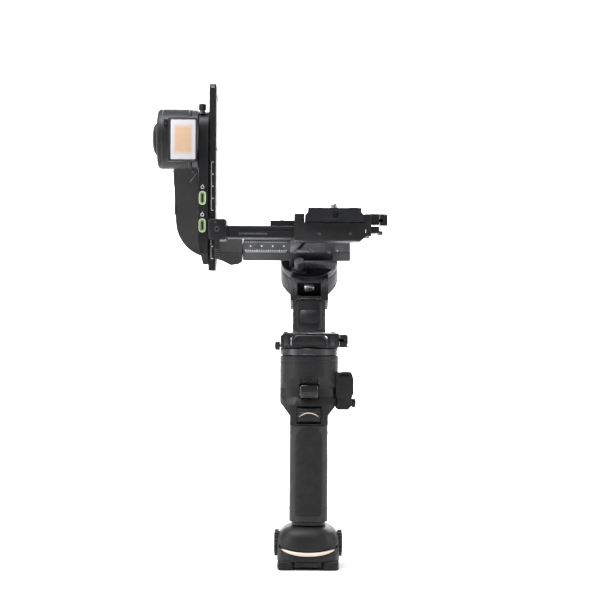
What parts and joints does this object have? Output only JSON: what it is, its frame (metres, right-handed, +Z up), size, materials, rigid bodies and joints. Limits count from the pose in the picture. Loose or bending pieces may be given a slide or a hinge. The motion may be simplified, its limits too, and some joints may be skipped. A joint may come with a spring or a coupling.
{
  "type": "camera gimbal",
  "caption": "Three-axis handheld stabiliser with a leaning roll motor, sliding balance rails, a quick-release camera plate and a fill light on the tilt motor.",
  "frame": {"origin": "on the pan axis, in the plane of the four feet, at the mouth of the tripod socket", "axes": "+Z up along the pan axis; +X to the right when seen from the lens side; +Y from the lens side towards the operator"},
  "size_m": [0.2011, 0.1738, 0.4126],
  "materials": {
    "plastic": "fine grained black plastic",
    "soft_grip": "soft-touch black coating",
    "gloss": "polished black plastic",
    "anodised": "black anodised aluminium",
    "satin": "dark satin aluminium",
    "steel": "brushed steel",
    "brass": "turned brass",
    "copper": "lacquered copper windings",
    "rubber": "matte black rubber",
    "light": "translucent warm white strip",
    "diffuser": "translucent fill light diffuser",
    "port": "pale green connector shell",
    "cell": "shrink-wrapped cell",
    "glass": "dark display window"
  },
  "bodies": {
    "handle": {"base_housing": "plastic", "base_plate": "plastic", "tripod_bush": "brass", "foot_front_left": "rubber", "foot_front_right": "rubber", "foot_rear_left": "rubber", "foot_rear_right": "rubber", "base_light": "light", "rosette_left": "anodised", "rosette_right": "anodised", "base_collar": "anodised", "grip_front": "soft_grip", "grip_rear": "soft_grip", "battery_cell_front": "cell", "battery_cell_rear": "cell", "head_housing": "plastic", "pan_stator": "copper", "accessory_block": "anodised", "control_panel": "gloss", "display": "glass"},
    "trigger": {"trigger": "gloss"},
    "front_dial": {"front_dial": "anodised"},
    "joystick": {"joystick": "soft_grip"},
    "record_button": {"record_button": "gloss"},
    "mode_button": {"mode_button": "gloss"},
    "accessory_knob": {"accessory_knob": "anodised"},
    "pan": {"pan_rotor": "satin", "pan_clamp": "anodised"},
    "pan_lever": {"pan_clamp_lever": "gloss"},
    "pan_knob": {"pan_clamp_knob": "anodised"},
    "pan_arm": {"pan_arm": "anodised", "roll_fork": "anodised", "roll_motor_housing": "plastic", "roll_stator": "copper"},
    "roll_lock": {"roll_lock": "steel"},
    "roll": {"roll_rotor": "satin", "rail_clamp": "anodised"},
    "rail_lever": {"rail_clamp_lever": "satin"},
    "roll_arm": {"roll_rail": "satin", "roll_arm": "plastic", "tilt_motor_housing": "plastic", "tilt_stator": "copper", "light_frame": "plastic", "light_panel": "diffuser"},
    "light_dial": {"light_dial": "plastic"},
    "tilt_lock": {"tilt_lock": "steel"},
    "tilt": {"tilt_rotor": "satin", "tilt_arm": "anodised", "upright_rail": "anodised", "usb_port_upper": "port", "usb_port_lower": "port"},
    "arm_knob": {"arm_knob": "anodised"},
    "bracket": {"bracket": "anodised"},
    "bracket_lever": {"bracket_lever": "anodised"},
    "quick_release": {"qr_base": "anodised"},
    "qr_lever": {"qr_lever": "gloss"},
    "camera_plate": {"camera_plate": "anodised"},
    "camera_screw": {"camera_screw": "steel"}
  },
  "joints": [
    {"name": "trigger_pull", "type": "slide", "parent": "handle", "child": "trigger", "axis": [0, 1, 0], "range_m": [0, 0.0025], "stiffness_N_per_m": 200, "springref_m": -0.0008},
    {"name": "front_dial_spin", "type": "hinge", "parent": "handle", "child": "front_dial", "pos_m": [0, -0.0163, 0.1312], "axis": [1, 0, 0], "continuous": true},
    {"name": "joystick_tilt", "type": "hinge", "parent": "handle", "child": "joystick", "pos_m": [0, 0.021, 0.141], "axis": [1, 0, 0], "range_deg": [-12, 12], "stiffness_Nm_per_rad": 0.02},
    {"name": "record_press", "type": "slide", "parent": "handle", "child": "record_button", "axis": [0, -1, 0], "range_m": [0, 0.0007], "stiffness_N_per_m": 150, "springref_m": -0.0004},
    {"name": "mode_press", "type": "slide", "parent": "handle", "child": "mode_button", "axis": [0, -1, 0], "range_m": [0, 0.0007], "stiffness_N_per_m": 150, "springref_m": -0.0004},
    {"name": "accessory_knob_spin", "type": "hinge", "parent": "handle", "child": "accessory_knob", "pos_m": [0.0383, 0, 0.1408], "axis": [1, 0, 0], "continuous": true},
    {"name": "pan", "type": "hinge", "parent": "handle", "child": "pan", "pos_m": [0, 0, 0.188], "axis": [0, 0, 1], "continuous": true},
    {"name": "pan_lever_swing", "type": "hinge", "parent": "pan", "child": "pan_lever", "pos_m": [0.029, 0.013, 0.1952], "axis": [0, 0, 1], "range_deg": [0, 70]},
    {"name": "pan_knob_spin", "type": "hinge", "parent": "pan", "child": "pan_knob", "pos_m": [-0.0272, 0, 0.1896], "axis": [1, 0, 0], "continuous": true},
    {"name": "pan_arm_slide", "type": "slide", "parent": "pan", "child": "pan_arm", "axis": [0, 1, 0], "range_m": [-0.012, 0.012]},
    {"name": "roll_lock_slide", "type": "slide", "parent": "pan_arm", "child": "roll_lock", "axis": [1, 0, 0], "range_m": [0, 0.004]},
    {"name": "roll", "type": "hinge", "parent": "pan_arm", "child": "roll", "pos_m": [0, 0, 0.3666], "axis": [0, -0.6691, 0.7431], "range_deg": [-75, 75]},
    {"name": "rail_lever_swing", "type": "hinge", "parent": "roll", "child": "rail_lever", "pos_m": [-0.009, 0.07009, 0.26096], "axis": [0, 0.6691, -0.7431], "range_deg": [0, 70]},
    {"name": "roll_arm_slide", "type": "slide", "parent": "roll", "child": "roll_arm", "axis": [1, 0, 0], "range_m": [-0.018, 0.02]},
    {"name": "light_dial_spin", "type": "hinge", "parent": "roll_arm", "child": "light_dial", "pos_m": [-0.131, 0, 0.3666], "axis": [1, 0, 0], "continuous": true},
    {"name": "tilt_lock_slide", "type": "slide", "parent": "roll_arm", "child": "tilt_lock", "axis": [1, 0, 0], "range_m": [0, 0.005]},
    {"name": "tilt", "type": "hinge", "parent": "roll_arm", "child": "tilt", "pos_m": [-0.095, 0, 0.3666], "axis": [1, 0, 0], "range_deg": [-90, 90]},
    {"name": "arm_knob_spin", "type": "hinge", "parent": "tilt", "child": "arm_knob", "pos_m": [-0.0924, -0.013, 0.393], "axis": [0, 0, 1], "continuous": true},
    {"name": "bracket_height", "type": "slide", "parent": "tilt", "child": "bracket", "axis": [0, 0, 1], "range_m": [-0.006, 0.05]},
    {"name": "bracket_lever_swing", "type": "hinge", "parent": "bracket", "child": "bracket_lever", "pos_m": [-0.0788, -0.0299, 0.2885], "axis": [0, -1, 0], "range_deg": [0, 90]},
    {"name": "quick_release_slide", "type": "slide", "parent": "bracket", "child": "quick_release", "axis": [1, 0, 0], "range_m": [-0.02, 0.006]},
    {"name": "qr_lever_swing", "type": "hinge", "parent": "quick_release", "child": "qr_lever", "pos_m": [0.0626, 0.012, 0.2974], "axis": [0, 0, 1], "range_deg": [0, 70]},
    {"name": "camera_plate_slide", "type": "slide", "parent": "quick_release", "child": "camera_plate", "axis": [0, 1, 0], "range_m": [-0.02, 0.02]},
    {"name": "camera_screw_spin", "type": "hinge", "parent": "camera_plate", "child": "camera_screw", "pos_m": [0.0205, -0.006, 0.3], "axis": [0, 0, 1], "continuous": true}
  ]
}
